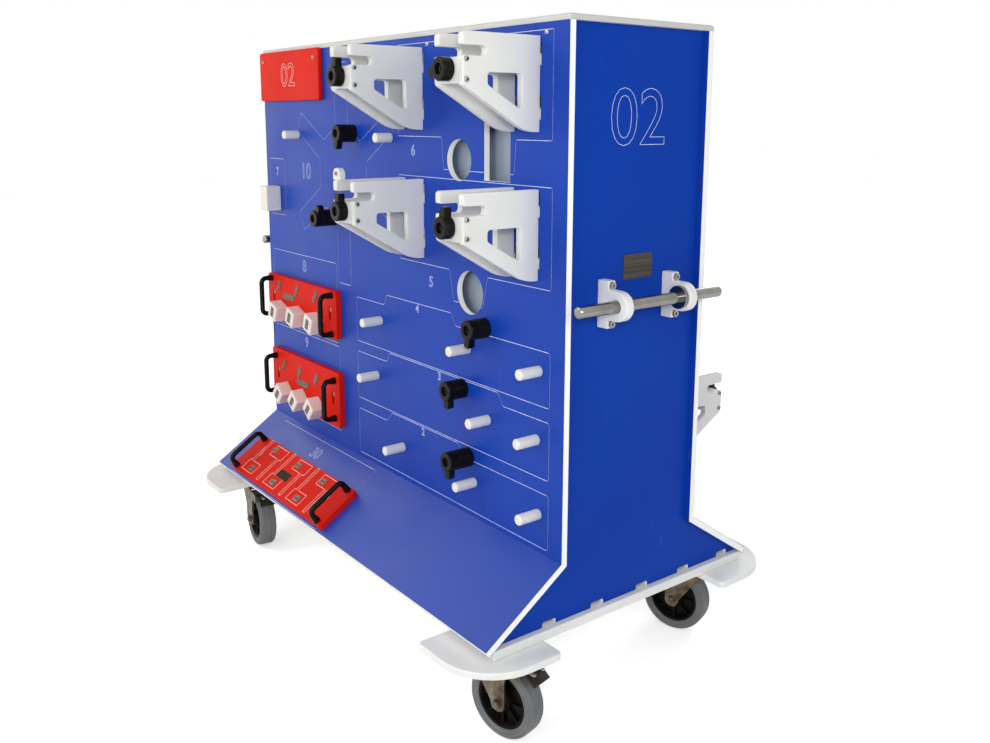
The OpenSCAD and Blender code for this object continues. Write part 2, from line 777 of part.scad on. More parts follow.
module handles_upper() on_front(tag_upper) handle_pair(tag_upper_l);
module handles_lower() on_front(tag_lower) handle_pair(tag_lower_l);
module handles_skirt() on_skirt(tag_skirt) handle_pair(tag_skirt_l);

// A row of three square blocks standing on a plate
module tag_blocks(pitch, turn)
    color(white) for (i = [-1:1]) translate([i * pitch, face_gap + tag_t, 0]) rotate([0, turn, 0])
        outwards(cube_out) polygon(rounded_box(cube_side, cube_side, cube_r));

module tag_blocks_upper()
    on_front(tag_upper - [0, cube_drop_upper]) tag_blocks(cube_upper_pitch, cube_upper_turn);
module tag_blocks_lower()
    on_front(tag_lower - [cube_shift_lower, cube_drop_lower]) tag_blocks(cube_lower_pitch, cube_lower_turn);

// Both ends carry a push bar: the frame has +X pointing out of the end panel
module on_end(side) mirror([side > 0 ? 0 : 1, 0, 0]) translate([end_x, 0, bar_z]) children();

module push_bars()
    color(steel) for (side = [-1, 1]) on_end(side) translate([bar_off, 0, 0]) {
        dome = bar_d / 4;
        translate([0, -bar_l / 2 + dome, 0]) rod_out(bar_d, bar_l - 2 * dome);
        for (end = [-1, 1]) translate([0, end * (bar_l / 2 - dome), 0]) rotate([-90 * end, 0, 0])
            rotate_extrude() intersection() {
                scale_dome(dome);
                square([bar_d, bar_d]);
            }
    }

// Half of a bar end's section: a flat tip with a rounded shoulder
module scale_dome(dome) polygon(rounded([
    [0, -1, 0], [bar_d / 2, -1, 0], [bar_d / 2, dome, dome - 0.2], [0, dome, 0]
]));

module bar_collars()
    color(steel) for (side = [-1, 1], end = [-1, 1]) on_end(side)
        translate([bar_off, end * (bar_span / 2 - pillow_t / 2 - collar_t / 2) - collar_t / 2, 0])
            difference() {
                rod_out(collar_d, collar_t);
                translate([0, -1, 0]) rod_out(bar_d + 2 * snug_gap, collar_t + 2);
            }

module pillow_blocks()
    color(white) for (side = [-1, 1], end = [-1, 1]) on_end(side)
        translate([0, end * bar_span / 2 - pillow_t / 2, 0]) difference() {
            union() {
                outwards(pillow_t) polygon(rounded([
                    [0, -pillow_foot_h / 2, 2], [pillow_foot_d, -pillow_foot_h / 2, 4],
                    [pillow_foot_d, pillow_foot_h / 2, 4], [0, pillow_foot_h / 2, 2]
                ]));
                translate([0, 0, -pillow_nose_r]) cube([bar_off, pillow_t, 2 * pillow_nose_r]);
                translate([bar_off, 0, 0]) rod_out(2 * pillow_nose_r, pillow_t);
            }
            translate([bar_off, -1, 0]) rod_out(bar_d + 2 * snug_gap, pillow_t + 2);
        }

module pillow_screws()
    color(steel) for (side = [-1, 1], end = [-1, 1], up = [-1, 1]) on_end(side)
        translate([pillow_foot_d, end * bar_span / 2, up * pillow_screw_span / 2]) rotate([0, 90, 0])
            difference() {
                cylinder(d = pillow_head_d, h = 5);
                translate([0, 0, 2]) cylinder(d = 7, h = 4, $fn = 6);
            }

// A caster stands at its swivel axis, with its trail along the turned X axis
module at_caster(sx, sy, turn) translate([sx * swivel_x, sy * swivel_y, 0]) rotate([0, 0, turn]) children();

module caster_top_plates()
    color(zinc) for (sx = [-1, 1], sy = [-1, 1]) translate([sx * swivel_x, sy * swivel_y, 0]) {
        translate([0, 0, caster_h - top_plate_t]) linear_extrude(top_plate_t)
            polygon(rounded_box(top_plate_side, top_plate_side, 8));
        translate([0, 0, crown_z - fork_t]) cylinder(d = king_d, h = race_h + fork_t + face_gap + 1);
        translate([0, 0, crown_z - fork_t - face_gap - king_nut_h]) {
            cylinder(d = king_d, h = king_nut_h + face_gap + 1);
            cylinder(d = 1.7 * king_d, h = king_nut_h, $fn = 6);
        }
    }

// A pressed fork with its ball race, two legs and the axle bolt.
// A braked fork's legs run on over the wheel as wings that carry the pedal's pin.
module fork(braked) {
    wing = braked
        ? [[wing_s, crown_z, 3], [wing_s, wing_z, 6], [trail + leg_r, wing_z + wing_rise, 14]]
        : [[leg_front, crown_z, 0], [trail + leg_r, axle_z + leg_r, 12]];
    difference() {
        union() {
            translate([0, 0, crown_z]) cylinder(d1 = race_d + 6, d2 = race_d, h = race_h);
            translate([leg_rear, -fork_gap / 2 - fork_t, crown_z - fork_t])
                cube([leg_front - leg_rear, fork_gap + 2 * fork_t, fork_t + 0.5]);
            for (side = [-1, 1])
                translate([0, side * (fork_gap + fork_t) / 2 - fork_t / 2, 0])
                    outwards(fork_t) polygon(rounded(concat(
                        [[leg_rear, crown_z, 0]], wing,
                        [[trail + leg_r, axle_z - leg_r, leg_r - 0.5],
                         [trail - leg_r, axle_z - leg_r, leg_r - 0.5], [trail - leg_r, axle_z, 20]]
                    )));
        }
        translate([0, 0, crown_z - fork_t - 1]) cylinder(d = king_d + 2 * run_gap, h = race_h + fork_t + 2);
        translate([trail, -fork_gap, axle_z]) rod_out(axle_d + 2 * snug_gap, 2 * fork_gap);
        if (braked)
            translate([pedal_s, -fork_gap, pedal_z]) rod_out(pedal_pin_d + 2 * run_gap, 2 * fork_gap);
    }
    translate([trail, -fork_gap / 2 - fork_t - nut_h, axle_z]) {
        rod_out(axle_d, fork_gap + 2 * fork_t + 2 * nut_h);
        for (y = [0, fork_gap + 2 * fork_t + nut_h]) translate([0, y, 0]) rotate([-90, 0, 0])
            cylinder(d = nut_d, h = nut_h, $fn = 6);
    }
}

// A moulded rim: hub, web and the band that carries the tyre, dished and ribbed on both faces
module rim()
    translate([trail, 0, axle_z]) rotate([90, 0, 0]) {
        for (i = [0:rib_count - 1]) rotate([0, 0, 360 * i / rib_count])
            translate([hub_d / 2 - 2, -rib_t / 2, -rib_w / 2])
                cube([(rim_d - hub_d) / 2 - 3, rib_t, rib_w]);
        rim_body();
    }

module rim_body()
    rotate_extrude() polygon([
        [axle_d / 2 + run_gap, -hub_w / 2], [hub_d / 2 - 3, -hub_w / 2], [hub_d / 2, -hub_w / 2 + 6],
        [hub_d / 2 + 2, -8], [rim_d / 2 - 12, -6], [rim_d / 2 - 6, -rim_w / 2], [rim_d / 2, -rim_w / 2],
        [rim_d / 2, rim_w / 2], [rim_d / 2 - 6, rim_w / 2], [rim_d / 2 - 12, 6],
        [hub_d / 2 + 2, 8], [hub_d / 2, hub_w / 2 - 6], [hub_d / 2 - 3, hub_w / 2],
        [axle_d / 2 + run_gap, hub_w / 2]
    ]);

// A solid tyre with round shoulders and shallow tread grooves
module tyre() {
    groove = 1.2;
    groove_w = 2.4;
    groove_at = tyre_w / 6;
    half_w = tyre_w / 2;
    r = wheel_d / 2;
    bed = rim_d / 2 + snug_gap;
    translate([trail, 0, axle_z]) rotate([90, 0, 0]) rotate_extrude() polygon(concat(
        rounded([[bed, -rim_w / 2, 0], [bed + 3, -half_w, 4], [r, -half_w, 9], [r, -half_w + 12, 0]]),
        [[r, -groove_at - groove_w], [r - groove, -groove_at], [r, -groove_at + groove_w],
         [r, groove_at - groove_w], [r - groove, groove_at], [r, groove_at + groove_w]],
        rounded([[r, half_w - 12, 0], [r, half_w, 9], [bed + 3, half_w, 4], [bed, rim_w / 2, 0]])
    ));
}

// A brake pedal on a cross pin between the wings, with its tread bent down behind the wheel
module pedal()
    translate([pedal_s, 0, pedal_z]) {
        pin_l = fork_gap + 2 * fork_t;
        rise = pedal_pin_d / 2;
        translate([0, -pin_l / 2, 0]) rod_out(pedal_pin_d, pin_l);
        translate([0, -pedal_w / 2, 0]) outwards(pedal_w) polygon(rounded([
            [-pedal_pin_d, rise - pedal_t, 1], [pedal_bend, rise - pedal_t, 8],
            [pedal_reach - pedal_t, rise - pedal_fall, 1], [pedal_reach, rise - pedal_fall, 1],
            [pedal_bend + pedal_t / 2, rise, 10], [-pedal_pin_d, rise, 1]
        ]));
    }

module fork_node(sx, sy, turn, braked) color(zinc) at_caster(sx, sy, turn) fork(braked);
module rim_node(sx, sy, turn) color(black) at_caster(sx, sy, turn) rim();
module tyre_node(sx, sy, turn) color(tyre_grey) at_caster(sx, sy, turn) tyre();
module pedal_node(sx, sy, turn) color(black) at_caster(sx, sy, turn) pedal();

front_panel();
front_skirt();
rear_panel();
rear_skirt();
right_end_panel();
left_end_panel();
top_lid();
base_plate();
corner_pads();
inner_liner();
pegs();
clamp_posts();
pivot_screws();
sign_plate();
rest_block();
hanger_screws();
push_bars();
bar_collars();
pillow_blocks();
pillow_screws();
caster_top_plates();
arm_upper_left();
arm_upper_right();
arm_lower_left();
arm_lower_right();
arm_rear();
knob_upper_left();
knob_upper_right();
knob_lower_left();
knob_lower_right();
knob_rear();
clamp_lever(0);  // clamp_lever_1
clamp_lever(1);  // clamp_lever_2
clamp_lever(2);  // clamp_lever_3
clamp_lever(3);  // clamp_lever_4
clamp_lever(4);  // clamp_lever_5
tag_plate_upper();
tag_plate_lower();
tag_plate_skirt();
handles_upper();
handles_lower();
handles_skirt();
tag_blocks_upper();
tag_blocks_lower();
fork_node(1, -1, turn_front_right, true);  // fork_front_right
fork_node(-1, -1, turn_front_left, true);  // fork_front_left
fork_node(1, 1, turn_rear_right, false);  // fork_rear_right
fork_node(-1, 1, turn_rear_left, false);  // fork_rear_left
rim_node(1, -1, turn_front_right);  // rim_front_right
rim_node(-1, -1, turn_front_left);  // rim_front_left
rim_node(1, 1, turn_rear_right);  // rim_rear_right
rim_node(-1, 1, turn_rear_left);  // rim_rear_left
tyre_node(1, -1, turn_front_right);  // tyre_front_right
tyre_node(-1, -1, turn_front_left);  // tyre_front_left
tyre_node(1, 1, turn_rear_right);  // tyre_rear_right
tyre_node(-1, 1, turn_rear_left);  // tyre_rear_left
pedal_node(1, -1, turn_front_right);  // pedal_front_right
pedal_node(-1, -1, turn_front_left);  // pedal_front_left
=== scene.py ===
import math

import bmesh
import bpy
from mathutils import Matrix, Quaternion, Vector


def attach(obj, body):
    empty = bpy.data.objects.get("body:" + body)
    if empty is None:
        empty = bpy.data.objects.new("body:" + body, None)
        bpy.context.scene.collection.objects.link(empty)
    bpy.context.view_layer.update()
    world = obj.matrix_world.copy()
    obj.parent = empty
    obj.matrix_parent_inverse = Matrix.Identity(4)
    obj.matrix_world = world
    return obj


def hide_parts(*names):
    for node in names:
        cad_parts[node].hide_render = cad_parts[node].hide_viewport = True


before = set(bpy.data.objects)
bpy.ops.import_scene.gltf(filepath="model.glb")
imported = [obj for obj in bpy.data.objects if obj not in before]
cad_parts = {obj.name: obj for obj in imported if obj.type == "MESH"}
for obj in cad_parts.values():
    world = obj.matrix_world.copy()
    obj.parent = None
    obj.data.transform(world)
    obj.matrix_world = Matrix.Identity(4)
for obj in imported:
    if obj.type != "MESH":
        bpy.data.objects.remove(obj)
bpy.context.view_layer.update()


# The studio: a pale floor, a white surround and six soft lamps round the cart.
# The camera stands off the cart's front right corner at about chest height.
scene = bpy.context.scene
camera = bpy.data.objects.new("camera", bpy.data.cameras.new("camera"))
scene.collection.objects.link(camera)
scene.camera = camera
view_yaw, view_pitch, view_roll = 0.9159, 0.1806, 0.0031
view_line = Vector((
    -math.sin(view_yaw) * math.cos(view_pitch),
    math.cos(view_yaw) * math.cos(view_pitch),
    -math.sin(view_pitch),
))
camera.location = (2.0223, -1.4157, 1.2376)
camera.rotation_mode = "QUATERNION"
camera.rotation_quaternion = view_line.to_track_quat("-Z", "Y") @ Quaternion((0, 0, 1), view_roll)
camera.data.lens = 35.2
camera.data.sensor_width = 36
camera.data.shift_x, camera.data.shift_y = 0.00075, -0.0771
scene.view_settings.view_transform = "Standard"


def seen_directly(tree):
    # 1 for a ray from the camera, or from it by way of a gloss or a clear piece
    rays = tree.nodes.new("ShaderNodeLightPath")
    total = rays.outputs["Is Camera Ray"]
    for kind in ("Is Glossy Ray", "Is Transmission Ray"):
        either = tree.nodes.new("ShaderNodeMath")
        either.operation = "MAXIMUM"
        tree.links.new(total, either.inputs[0])
        tree.links.new(rays.outputs[kind], either.inputs[1])
        total = either.outputs[0]
    return total


# The surround is white where it is seen directly, and a dimmer sky lights the cart
world = bpy.data.worlds.new("surround")
scene.world = world
world.use_nodes = True
world_tree = world.node_tree
sky = world_tree.nodes["Background"]
sky.inputs["Color"].default_value = (0.97, 0.98, 1, 1)
sky.inputs["Strength"].default_value = 0.32
white_wall = world_tree.nodes.new("ShaderNodeBackground")
white_wall.inputs["Color"].default_value = (1, 1, 1, 1)
sky_or_wall = world_tree.nodes.new("ShaderNodeMixShader")
world_tree.links.new(seen_directly(world_tree), sky_or_wall.inputs[0])
world_tree.links.new(sky.outputs[0], sky_or_wall.inputs[1])
world_tree.links.new(white_wall.outputs[0], sky_or_wall.inputs[2])
world_tree.links.new(sky_or_wall.outputs[0], world_tree.nodes["World Output"].inputs[0])

floor_mesh = bmesh.new()
bmesh.ops.create_grid(floor_mesh, x_segments=1, y_segments=1, size=14)
floor = bpy.data.objects.new("floor", bpy.data.meshes.new("floor"))
floor_mesh.to_mesh(floor.data)
floor_mesh.free()
scene.collection.objects.link(floor)
floor_paint = bpy.data.materials.new("floor_paint")
floor_paint.use_nodes = True
floor_tree = floor_paint.node_tree
floor_shader = floor_tree.nodes["Principled BSDF"]
floor_shader.inputs["Base Color"].default_value = (0.9, 0.9, 0.9, 1)
floor_shader.inputs["Roughness"].default_value = 0.9
floor_shader.inputs["Emission Color"].default_value = (1, 1, 1, 1)

# The floor glows where it is seen directly, less round the cart, so that its shadow stays
floor_place = floor_tree.nodes.new("ShaderNodeTexCoord")
from_cart = floor_tree.nodes.new("ShaderNodeVectorMath")
from_cart.operation = "LENGTH"
floor_tree.links.new(floor_place.outputs["Object"], from_cart.inputs[0])
fade_out = floor_tree.nodes.new("ShaderNodeMapRange")
fade_out.interpolation_type = "SMOOTHSTEP"
fade_out.inputs["From Min"].default_value = 0.9
fade_out.inputs["From Max"].default_value = 3.2
fade_out.inputs["To Min"].default_value = 0.46
fade_out.inputs["To Max"].default_value = 0.74
floor_tree.links.new(from_cart.outputs["Value"], fade_out.inputs["Value"])
floor_glow = floor_tree.nodes.new("ShaderNodeMath")
floor_glow.operation = "MULTIPLY"
floor_tree.links.new(seen_directly(floor_tree), floor_glow.inputs[0])
floor_tree.links.new(fade_out.outputs["Result"], floor_glow.inputs[1])
floor_tree.links.new(floor_glow.outputs[0], floor_shader.inputs["Emission Strength"])
floor.data.materials.append(floor_paint)

for name, place, target, size, power, tint in (
    ("lamp_key", (-1.7, -3.4, 3.0), (0, 0, 0.7), 1.2, 44, (1, 0.96, 0.9)),
    ("lamp_fill", (1.4, -3.8, 1.9), (0.3, 0, 0.7), 2.2, 46, (0.97, 0.99, 1)),
    ("lamp_left", (-3.6, -1.6, 1.7), (0, 0, 0.7), 2.8, 26, (1, 0.86, 0.7)),
    ("lamp_right", (3.8, 0.2, 2.1), (0.4, 0, 0.7), 2.2, 28, (0.97, 0.99, 1)),
    ("lamp_camera", (2.2, -1.5, 1.5), (0.2, -0.1, 0.9), 0.3, 17, (0.98, 0.99, 1)),
    ("lamp_back", (-0.6, 3.8, 2.2), (0, 0, 0.8), 2.4, 62, (1, 1, 1)),
):
    lamp = bpy.data.objects.new(name, bpy.data.lights.new(name, "AREA"))
    lamp.data.size = size
    lamp.data.energy = power
    lamp.data.color = tint
    lamp.location = place
    lamp.rotation_euler = (Vector(target) - Vector(place)).to_track_quat("-Z", "Y").to_euler()
    scene.collection.objects.link(lamp)


# The shell: panels, skirts and ends of 15 mm sheet, blue skins on a white core.
# The sheet is routed, so every cut edge shows the core. The skins are lightly scuffed, and
# smudged low down where feet and floor cloths reach.
def tone(red, green, blue):
    # A colour as it reads on screen, turned into the shader's light values
    return tuple(
        c / 255 / 12.92 if c <= 10 else ((c / 255 + 0.055) / 1.055) ** 2.4 for c in (red, green, blue)
    )


def finish(name, colour, roughness):
    # A new material with its shader and its coordinates on the piece
    mat = bpy.data.materials.new(name)
    mat.use_nodes = True
    tree = mat.node_tree
    shader = tree.nodes["Principled BSDF"]
    shader.inputs["Base Color"].default_value = (*colour, 1)
    shader.inputs["Roughness"].default_value = roughness
    place = tree.nodes.new("ShaderNodeTexCoord").outputs["Object"]
    return mat, tree, shader, place


def noise(tree, place, scale, detail=3, stretch=(1, 1, 1)):
    turned = tree.nodes.new("ShaderNodeMapping")
    turned.inputs["Scale"].default_value = stretch
    cloud = tree.nodes.new("ShaderNodeTexNoise")
    cloud.inputs["Scale"].default_value = scale
    cloud.inputs["Detail"].default_value = detail
    tree.links.new(place, turned.inputs["Vector"])
    tree.links.new(turned.outputs[0], cloud.inputs["Vector"])
    return cloud.outputs["Fac"]


def ramp(tree, value, *stops):
    # Colour by a value: stops are (position, colour), and a plain number is a grey
    band = tree.nodes.new("ShaderNodeValToRGB")
    marks = band.color_ramp.elements
    while len(marks) < len(stops):
        marks.new(0.5)
    for mark, (position, colour) in zip(marks, stops):
        grey = isinstance(colour, (int, float))
        mark.position = position
        mark.color = (colour, colour, colour, 1) if grey else (*colour, 1)
    tree.links.new(value, band.inputs[0])
    return band.outputs[0]


def drift(tree, place, socket, scale, detail, low, high, stretch=(1, 1, 1), ends=(0.3, 0.75)):
    # A colour or a roughness that drifts between two values in soft patches
    cloud = noise(tree, place, scale, detail, stretch)
    tree.links.new(ramp(tree, cloud, (ends[0], low), (ends[1], high)), socket)


def reckoned(tree, operation, a, b):
    # One step of arithmetic on sockets or plain numbers
    node = tree.nodes.new("ShaderNodeMath")
    node.operation = operation
    for socket, value in zip(node.inputs, (a, b)):
        if isinstance(value, (int, float)):
            socket.default_value = value
        else:
            tree.links.new(value, socket)
    return node.outputs[0]


def blend(tree, share, a, b):
    # One colour over another by a share from 0 to 1
    mix = tree.nodes.new("ShaderNodeMix")
    mix.data_type = "RGBA"
    sockets = [s for s in mix.inputs if s.enabled]
    for socket, value in zip(sockets, (share, a, b)):
        if isinstance(value, tuple):
            socket.default_value = (*value, 1)
        else:
            tree.links.new(value, socket)
    return [s for s in mix.outputs if s.enabled][0]


def raised(tree, shader, height, strength, distance):
    bump = tree.nodes.new("ShaderNodeBump")
    bump.inputs["Strength"].default_value = strength
    bump.inputs["Distance"].default_value = distance
    tree.links.new(height, bump.inputs["Height"])
    tree.links.new(bump.outputs[0], shader.inputs["Normal"])


sheet_skin = tone(9, 57, 159)
sheet_skin_pale = tone(14, 62, 165)
sheet_core = tone(250, 250, 247)
sheet_t = 0.015
skin_t = 0.0007
smudge_from, smudge_to = 0.14, 0.26


def layered_sheet(name, across, outer, sheen):
    # across points out of the sheet and outer is its outer face's place along it
    mat, tree, shader, place = finish(name, sheet_skin, 0.42)
    shader.inputs["Specular IOR Level"].default_value = sheen
    depth = tree.nodes.new("ShaderNodeVectorMath")
    depth.operation = "DOT_PRODUCT"
    depth.inputs[1].default_value = across
    tree.links.new(place, depth.inputs[0])
    from_middle = reckoned(tree, "SUBTRACT", depth.outputs["Value"], outer - sheet_t / 2)
    off_middle = reckoned(tree, "ABSOLUTE", from_middle, 0)
    core = reckoned(tree, "LESS_THAN", off_middle, sheet_t / 2 - skin_t)
    patchy = ramp(tree, noise(tree, place, 3.5, 5), (0.35, sheet_skin), (0.7, sheet_skin_pale))
    scuffs = ramp(tree, noise(tree, place, 60, 8, (1, 1, 0.12)), (0.69, 0), (0.76, 1))
    skin = blend(tree, reckoned(tree, "MULTIPLY", scuffs, 0.12), patchy, tone(120, 140, 205))
    height = tree.nodes.new("ShaderNodeSeparateXYZ")
    tree.links.new(place, height.inputs[0])
    low_down = ramp(tree, height.outputs["Z"], (smudge_from, 1), (smudge_to, 0))
    smudges = ramp(tree, noise(tree, place, 16, 8, (0.7, 1, 1)), (0.56, 0), (0.62, 1))
    smudged = reckoned(tree, "MULTIPLY", reckoned(tree, "MULTIPLY", low_down, smudges), 0.55)
    skin = blend(tree, smudged, skin, tone(46, 48, 84))
    tree.links.new(blend(tree, core, skin, sheet_core), shader.inputs["Base Color"])
    drift(tree, place, shader.inputs["Roughness"], 7, 4, 0.36, 0.5)
    raised(tree, shader, noise(tree, place, 900, 2), 0.05, 0.0004)
    return mat


def settle(bm, name, body, slot, *materials, smooth=35, even=False):
    # A finished mesh becomes a piece that moves with its body
    bmesh.ops.recalc_face_normals(bm, faces=bm.faces)
    mesh = bpy.data.meshes.new(name)
    bm.to_mesh(mesh)
    bm.free()
    mesh.shade_smooth()
    mesh.set_sharp_from_angle(angle=math.radians(smooth))
    piece = bpy.data.objects.new(name, mesh)
    scene.collection.objects.link(piece)
    for mat in materials:
        mesh.materials.append(mat)
    if even:
        piece.modifiers.new("even_normals", "WEIGHTED_NORMAL").keep_sharp = True
    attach(piece, body)
    return piece


def eased(node, body, slot, edge, *materials, turns=2, sharp=32, second=None):
    # A copy of a solid with its sharp edges broken, which stands for the solid.
    # Faces with all their corners picked out by second take the second material.
    bm = bmesh.new()
    bm.from_mesh(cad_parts[node].data)
    bmesh.ops.remove_doubles(bm, verts=bm.verts, dist=1e-5)
    bmesh.ops.dissolve_limit(
        bm, angle_limit=math.radians(1), use_dissolve_boundaries=False, verts=bm.verts, edges=bm.edges,
        delimit={"NORMAL"},
    )
    corners = [e for e in bm.edges if e.is_convex and e.calc_face_angle(0) > math.radians(sharp)]
    bmesh.ops.bevel(
        bm, geom=corners, offset=edge, offset_type="OFFSET", segments=turns, profile=0.5,
        affect="EDGES", clamp_overlap=True, material=-1,
    )
    for face in bm.faces:
        face.material_index = int(bool(second) and all(second(v.co) for v in face.verts))
    piece = settle(bm, node + "_eased", body, slot, *materials, smooth=52, even=True)
    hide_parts(node)


half_depth = 0.1985
fold = 0.354
end_face = 0.648
skirt_slope = math.atan2(127, 190)
skirt_up = Vector((0, math.sin(skirt_slope), math.cos(skirt_slope)))
skirt_face = half_depth * skirt_up.y + fold * skirt_up.z
for node, across, outer, sheen in (
    ("front_panel", (0, -1, 0), half_depth, 0.18),
    ("rear_panel", (0, 1, 0), half_depth, 0.18),
    ("front_skirt", (0, -skirt_up.y, skirt_up.z), skirt_face, 0.55),
    ("rear_skirt", (0, skirt_up.y, skirt_up.z), skirt_face, 0.55),
    ("right_end_panel", (1, 0, 0), end_face, 0.06),
    ("left_end_panel", (-1, 0, 0), end_face, 0.06),
):
    sheet = layered_sheet(node + "_sheet", across, outer, sheen)
    eased(node, "cabinet", "blue_sheet", 0.0004, sheet, turns=1)


# Lid, base and bumper pads: white polyethylene boards with their edges routed round.
# They are satin, a little grey where hands and floors have rubbed them.
def white_board(name, colour, rub, rough=0.46):
    mat, tree, shader, place = finish(name, colour, rough)
    cloudy = ramp(tree, noise(tree, place, 6, 5), (0.3, colour), (0.75, rub))
    marks = ramp(tree, noise(tree, place, 45, 6, (1, 1, 0.25)), (0.68, 0), (0.8, 1))
    marked = blend(tree, reckoned(tree, "MULTIPLY", marks, 0.15), cloudy, tone(176, 174, 168))
    tree.links.new(marked, shader.inputs["Base Color"])
    drift(tree, place, shader.inputs["Roughness"], 14, 3, rough - 0.06, rough + 0.08)
    shader.inputs["Subsurface Weight"].default_value = 0.5
    shader.inputs["Subsurface Radius"].default_value = (1, 1, 1)
    shader.inputs["Subsurface Scale"].default_value = 0.012
    raised(tree, shader, noise(tree, place, 500, 3), 0.06, 0.0004)
    return mat


board_white = white_board("board_white", tone(234, 234, 231), tone(224, 224, 220))
# The lid takes a darker copy of the boards' white: painted shade for its top, which the lamps above light
# more.
lid_shaded_white = white_board("lid_shaded_white", tone(202, 202, 199), tone(194, 194, 190))
eased("top_lid", "cabinet", "white_plastic", 0.0004, lid_shaded_white, turns=1)
eased("base_plate", "cabinet", "white_plastic", 0.0015, board_white)
eased("corner_pads", "cabinet", "white_plastic", 0.0028, board_white, turns=3)


# The liner: a plain grey sheet a little behind the front panel, seen through the ports and
# the slot. It stands between the two end panels, under the lid.
liner_grey, tree, shader, place = finish("liner_grey", tone(142, 152, 167), 0.6)
drift(tree, place, shader.inputs["Base Color"], 5, 4, tone(136, 147, 162), tone(148, 158, 173))
raised(tree, shader, noise(tree, place, 400, 2), 0.05, 0.0003)
eased("inner_liner", "cabinet", "liner_grey", 0.0003, liner_grey, turns=1)


# Engraved outlines on the working face: each tool's zone is cut into the skin with a fine
# cutter. The cuts' colours are painted light and shade: level cuts are painted lit as if from above,
# slanted ones a painted half light, and an upright cut a painted shaded line with a painted lit lip.
mm = 0.001
cut_w, cut_proud = 1.2 * mm, 0.12 * mm
cut_lit, tree, shader, place = finish("cut_lit", tone(196, 206, 232), 0.6)
dull, bright = tone(168, 182, 222), tone(222, 228, 242)
drift(tree, place, shader.inputs["Base Color"], 120, 4, dull, bright, ends=(0.3, 0.7))
cut_shade, tree, shader, place = finish("cut_shade", tone(10, 28, 96), 0.6)
dull, bright = tone(8, 24, 92), tone(18, 44, 124)
drift(tree, place, shader.inputs["Base Color"], 90, 4, dull, bright, ends=(0.35, 0.75))
cut_half_lit, tree, shader, place = finish("cut_half_lit", tone(132, 150, 212), 0.6)
drift(tree, place, shader.inputs["Base Color"], 90, 4, tone(104, 126, 200), tone(168, 182, 224))
slanted_from, upright_from = 0.3, 0.75


def rounded_path(points, r, closed=True):
    # Cuts the corners of a path with short arcs
    path = []
    for i, p in enumerate(points):
        if not closed and i in (0, len(points) - 1):
            path.append(Vector(p))
            continue
        before, p, after = Vector(points[i - 1]), Vector(p), Vector(points[(i + 1) % len(points)])
        a, b = (before - p).normalized() * r + p, (after - p).normalized() * r + p
        path += [a.lerp(p, s).lerp(p.lerp(b, s), s) for s in (0, 0.33, 0.67, 1)]
    return path


def engrave(bm, points, to_face, closed=True, shaded=True):
    # Thin strips along each stretch of a path, in a face's own x and height
    lit, shade, half_lit = 0, 1, 2
    ends = zip(points, points[1:] + points[:1]) if closed else zip(points, points[1:])
    for a, b in ends:
        run = Vector(b) - Vector(a)
        if run.length < 0.01 * mm:
            continue
        along = (
            to_face
            @ Matrix.Translation((*((Vector(a) + Vector(b)) / 2), 0))
            @ Matrix.Rotation(math.atan2(run.y, run.x), 4, "Z")
        )
        steep = abs(run.y) / max(abs(run.x), 1e-6)
        # Level stretches take the painted lit colour, slanted ones the painted half light, upright ones a
        # painted shaded line with a painted lit lip
        strips = [(lit, 0, cut_w)]
        if shaded and steep > slanted_from:
            strips = [(half_lit, 0, cut_w)]
        if shaded and steep > upright_from:
            to_right = -1 if run.y > 0 else 1
            strips = [(shade, 0, cut_w), (half_lit, to_right * 0.8 * cut_w, 0.6 * cut_w)]
        for index, aside, wide in strips:
            size = Matrix.Diagonal((run.length + cut_w * 0.8, wide, 2 * cut_proud, 1))
            spot = along @ Matrix.Translation((0, aside, 0)) @ size
            made = bmesh.ops.create_cube(bm, size=1, matrix=spot)
            for face in {f for v in made["verts"] for f in v.link_faces}:
                face.material_index = index


def in_mm(points):
    return [(a * mm, b * mm) for a, b in points]


# On the front face, x runs along the cart and the face's height is the height above the floor
on_front = Matrix(((1, 0, 0, 0), (0, 0, -1, -half_depth), (0, 1, 0, 0), (0, 0, 0, 1)))
zones = (
    ((-148, 668), (618, 668), (618, 782), (294, 782), (280, 809), (1, 809), (-9, 783), (-148, 783)),
    ((-148, 516), (618, 516), (618, 638), (467, 638), (451, 664), (9, 664), (0, 640), (-148, 640)),
    ((-146, 366), (618, 366), (618, 485), (325, 485), (303, 512), (17, 512), (-5, 486), (-146, 486)),
    ((-640, 962), (-545, 962), (-545, 1122), (-640, 1122)),
    ((-640, 640), (-252, 640), (-252, 857), (-640, 857)),
    ((-634, 396), (-244, 396), (-244, 631), (-634, 631)),
    ((-174, 1376), (-240, 1376), (-240, 1216), (-301, 1180), (-431, 1252), (-458, 1205), (-329, 1130),
     (-329, 1054), (-458, 978), (-431, 931), (-301, 1004), (-240, 968), (-240, 808), (-174, 808),
     (-174, 968), (-113, 1004), (17, 931), (44, 978), (-85, 1054), (-85, 1130), (44, 1205), (17, 1252),
     (-113, 1180), (-174, 1216)),
)
# These stop at the round ports and at the slot
open_cuts = (
    ((391, 838), (396, 838), (413, 907), (618, 907), (618, 1107), (67, 1107), (67, 909), (273, 907),
     (289, 838), (309, 838)),
    ((490, 1127), (500, 1127), (506, 1196), (616, 1196), (616, 1402), (67, 1402), (67, 1197), (244, 1197),
     (252, 1127), (271, 1127)),
    ((351, 1127), (400, 1127)),
)
zone_corner, cut_corner = 7 * mm, 3 * mm
cuts = bmesh.new()
for zone in zones:
    engrave(cuts, rounded_path(in_mm(zone), zone_corner), on_front)
for cut in open_cuts:
    engrave(cuts, rounded_path(in_mm(cut), cut_corner, closed=False), on_front, closed=False)

